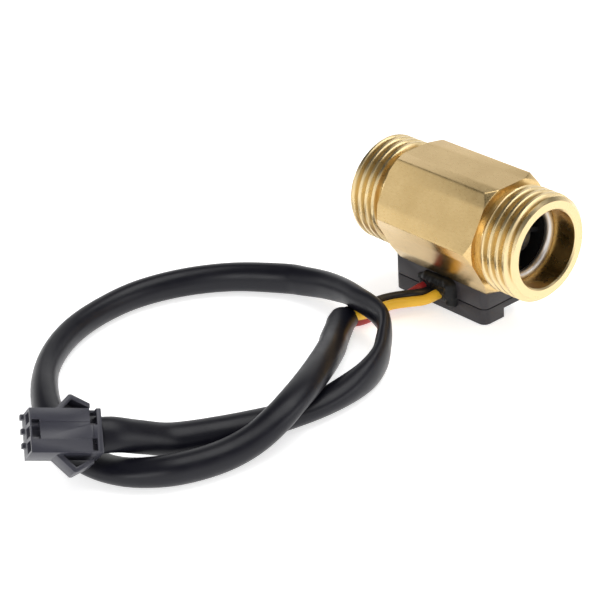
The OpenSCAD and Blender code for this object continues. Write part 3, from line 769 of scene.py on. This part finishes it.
# %% Moulded pieces
def softened(node, name, width, material, segments=2, angle=28):
    """A copy of a CAD node with merged flats and rounded edges, standing for the node."""
    bm = bmesh.new()
    bm.from_mesh(nodes[node].data)
    bmesh.ops.remove_doubles(bm, verts=bm.verts, dist=1e-7)
    bmesh.ops.dissolve_limit(bm, angle_limit=math.radians(0.5), verts=bm.verts, edges=bm.edges)
    mesh = bpy.data.meshes.new(name)
    bm.to_mesh(mesh)
    bm.free()
    obj = piece_object(name, mesh, material)
    edge = obj.modifiers.new("edge", "BEVEL")
    edge.width = width * MM
    edge.segments = segments
    edge.limit_method = "ANGLE"
    edge.angle_limit = math.radians(angle)
    edge.harden_normals = False
    soft = evaluated(obj, name)
    obj.modifiers.clear()
    obj.data = soft
    bpy.data.meshes.remove(mesh)
    mark_sharp(soft, 35)
    for face in soft.polygons:
        face.use_smooth = True
    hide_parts(node)
    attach(obj, "meter")
    print(name, len(soft.polygons), "faces")
    return obj


housing = softened("sensor_housing", "sensor_housing_shell", 0.16, box_plastic)
cover = softened("housing_cover", "housing_cover_shell", 0.14, cover_plastic)
connector = softened("connector_housing", "connector_shell", 0.1, nylon)

# %% [markdown]
# ## Wire seal
#
# The seal is soft black sealant pressed in around the wires: a thick bar over them, a lump down
# the right side and a thin tongue on the left. Each lump is a rounded stroke on the near face
# of the box. Their heights melt into one another, and a little noise keeps the skin uneven.

# %% Wire seal
SEAL_FACE_Y = -5.5
SEAL_STROKES = [
    ((-6.7, 5.0), (-4.3, 5.9), 0.66, 0.9),
    ((-4.6, 5.8), (1.5, 6.1), 1.1, 1.7),
    ((1.8, 5.8), (2.0, 2.4), 1.2, 1.8),
    ((-2.8, 5.0), (1.2, 4.4), 1.5, 1.6),
    ((-5.6, 3.2), (0.4, 2.9), 1.5, 1.0),
]
SEAL_STEP = 0.16
SEAL_SINK = 0.2


def stroke_height(x, z, start, end, radius, high):
    """How far one rounded stroke stands out at a place on the face."""
    a, b, p = Vector(start), Vector(end), Vector((x, z))
    t = max(0.0, min(1.0, (p - a).dot(b - a) / (b - a).length_squared))
    away = (p - a - (b - a) * t).length / radius
    return high * math.sqrt(max(0.0, 1 - away * away))


def seal_height(x, z):
    """All strokes melted together, with a little noise."""
    total = sum(stroke_height(x, z, *stroke) ** 3 for stroke in SEAL_STROKES) ** (1 / 3)
    return total * (1 + 0.16 * noise.noise(Vector((x, 0, z)) * 1.1))


def make_seal():
    """The lumpy face of the seal, closed behind, and the block that fills the opening."""
    across = [-7.9 + SEAL_STEP * i for i in range(74)]
    upward = [0.9 + SEAL_STEP * k for k in range(42)]
    bm = bmesh.new()
    sheets = []
    for front in (True, False):
        rows = []
        for z in upward:
            row = []
            for x in across:
                high = seal_height(x, z)
                y = SEAL_FACE_Y + SEAL_SINK - high if front else SEAL_FACE_Y + SEAL_SINK + 0.1
                row.append(bm.verts.new(Vector((x, y, z)) * MM))
            rows.append(row)
        sheets.append(rows)
    for rows in sheets:
        for low, high in zip(rows, rows[1:]):
            for k in range(len(across) - 1):
                bm.faces.new((low[k], low[k + 1], high[k + 1], high[k]))
    bmesh.ops.bridge_loops(bm, edges=[edge for edge in bm.edges if edge.is_boundary])
    block = bmesh.ops.create_cube(bm, size=1.0)["verts"]
    for vert in block:
        x, y, z = vert.co
        vert.co = Vector((-2.2 + 8.56 * x, -4.9 + 1.16 * y, 3.8 + 4.16 * z)) * MM
    bmesh.ops.recalc_face_normals(bm, faces=bm.faces)
    mesh = bpy.data.meshes.new("wire_seal_lumps")
    bm.to_mesh(mesh)
    bm.free()
    mark_sharp(mesh, 50)
    obj = piece_object("wire_seal_lumps", mesh, sealant)
    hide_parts("wire_seal")
    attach(obj, "meter")
    print("seal:", len(mesh.polygons), "faces")
    return obj


seal = make_seal()

# %% [markdown]
#
# The photograph shows the lead from end to end, so its length is the photograph's. The
# connector and its three contacts sit at its far end.

print("lead built: sleeve and three wires")

# %% [markdown]
# ## Small parts
#
# The remaining parts keep their CAD shapes and get their materials: the pale wire ring in the
# mouth, the cartridge and the turbine behind it, the shaft, the washers, the board with its
# chips, the screws and the contacts.


# %% Small parts
def metal(name, colour, roughness, grain_mm=0.2):
    """Plain metal with a faint change of roughness."""
    material, tree, shader = start_material(name)
    cloud = noise_value(tree, in_mm(tree), 1 / grain_mm)
    set_input(tree, shader, "Base Color", linear(colour))
    set_input(tree, shader, "Metallic", 1.0)
    set_input(tree, shader, "Roughness", ranged(tree, cloud, roughness * 0.85, roughness * 1.15))
    return material


bright_steel = metal("bright_steel", "#c9cbce", 0.28)
ring_steel = metal("dull_ring_wire", "#d6d2ce", 0.45)
tinned_brass = metal("tinned_brass", "#cdbf9c", 0.35)
looks = {
    "retaining_ring": ring_steel,
    "inlet_guide": cartridge_plastic,
    "cartridge_sleeve": cartridge_plastic,
    "rotor": rotor_plastic,
    "magnet_ring": moulded("ferrite_magnet", "#3a3b40", 0.5),
    "rotor_shaft": bright_steel,
    "inlet_washer": moulded("white_washer_plastic", "#e6e4dc", 0.4),
    "outlet_washer": moulded("white_washer_plastic_2", "#e6e4dc", 0.4),
    "circuit_board": moulded("green_board_lacquer", "#1f5a38", 0.35),
    "hall_sensor": moulded("black_chip_resin", "#1c1c1f", 0.5),
    "chip_resistor": moulded("black_resistor_glaze", "#18181b", 0.35),
    "chip_capacitor": moulded("tan_capacitor_ceramic", "#a98f6a", 0.45),
    "inlet_screw": bright_steel,
    "outlet_screw": bright_steel,
    "contact_red": tinned_brass,
    "contact_black": tinned_brass,
    "contact_yellow": tinned_brass,
}
for node_name, look in looks.items():
    slots = nodes[node_name].material_slots
    if len(slots) == 0:
        nodes[node_name].data.materials.append(look)
    for place in slots:
        place.material = look
print("materials given to", len(looks), "small parts")

# %% [markdown]
# ## Floor and light
#
# The product stands on a plain white table under large soft lights, with almost no shadow.
# The background is pure white for the camera only. Reflections see a softer, darker studio,
# so the brass keeps its dark tones between the highlights.

# %% Floor
FLOOR_LIFT = 0.1
FLOOR_GLOW = 0.5


def background_ray(tree):
    """1 for rays that show the background: the camera's, and those off metal and through glass."""
    ray = add_node(tree, "ShaderNodeLightPath").outputs
    direct = {0: ray["Is Camera Ray"], 1: ray["Is Transmission Ray"]}
    clear = add_node(tree, "ShaderNodeMath", direct, operation="ADD").outputs[0]
    seen = {0: clear, 1: ray["Is Glossy Ray"]}
    return add_node(tree, "ShaderNodeMath", seen, operation="ADD", use_clamp=True).outputs[0]


floor_mesh = bpy.data.meshes.new("floor")
floor_mesh.from_pydata([(-3, -3, 0), (3, -3, 0), (3, 3, 0), (-3, 3, 0)], [], [(0, 1, 2, 3)])
floor_look, floor_tree, floor_shader = start_material("white_table")
set_input(floor_tree, floor_shader, "Base Color", linear("#ececec"))
set_input(floor_tree, floor_shader, "Roughness", 0.9)
glow = {0: background_ray(floor_tree), 1: FLOOR_LIFT, 2: FLOOR_GLOW}
lift = add_node(floor_tree, "ShaderNodeMath", glow, operation="MULTIPLY_ADD")
set_input(floor_tree, floor_shader, "Emission Color", linear("#ffffff"))
set_input(floor_tree, floor_shader, "Emission Strength", lift.outputs[0])
floor = piece_object("floor", floor_mesh, floor_look, smooth=False)
floor.location.z = -0.0002


# %% Light
def area_light(name, place, aim, size, power, colour="#ffffff"):
    """A soft square light that faces a point."""
    data = bpy.data.lights.new(name, "AREA")
    data.shape = "RECTANGLE"
    data.size, data.size_y = size
    data.energy = power
    data.color = linear(colour)[:3]
    light = bpy.data.objects.new(name, data)
    bpy.context.scene.collection.objects.link(light)
    light.location = place
    ray = Vector(place) - Vector(aim)
    light.rotation_euler = ray.to_track_quat("Z", "Y").to_euler()
    return light


MIDDLE = (0.0, -0.03, 0.01)
area_light("top_softbox", (0.1, 0.2, 0.75), MIDDLE, (0.6, 0.6), 3.0)
area_light("left_softbox", (-0.6, -0.6, 0.3), MIDDLE, (0.7, 0.4), 0.4)
area_light("front_softbox", (0.35, -0.75, 0.35), MIDDLE, (0.6, 0.35), 2.2)
area_light("right_softbox", (0.62, 0.36, 0.3), MIDDLE, (0.5, 0.28), 0.9)
area_light("back_softbox", (-0.6, 0.55, 0.42), MIDDLE, (0.6, 0.45), 0.52)


def white_world():
    """White around the horizon, a dim grey ceiling, and a plain soft fill for diffuse light."""
    world = bpy.data.worlds.new("studio")
    bpy.context.scene.world = world
    world.use_nodes = True
    tree = world.node_tree
    tree.nodes.clear()
    facing = add_node(tree, "ShaderNodeTexCoord").outputs["Generated"]
    height = add_node(tree, "ShaderNodeSeparateXYZ", {"Vector": facing}).outputs["Z"]
    backdrop = ranged(tree, height, 1.0, CEILING, WHITE_TO, CEILING_FROM)
    power = {0: background_ray(tree), 2: FILL, 3: backdrop}
    strength = add_node(tree, "ShaderNodeMix", power, data_type="FLOAT").outputs[0]
    studio = {"Color": linear("#ffffff"), "Strength": strength}
    light = add_node(tree, "ShaderNodeBackground", studio)
    add_node(tree, "ShaderNodeOutputWorld", {"Surface": light.outputs[0]})


CEILING = 0.1
WHITE_TO = 0.12
CEILING_FROM = 0.5
FILL = 0.5
white_world()

# %% View
bpy.context.scene.view_settings.view_transform = "Standard"
print("view transform:", bpy.context.scene.view_settings.view_transform)
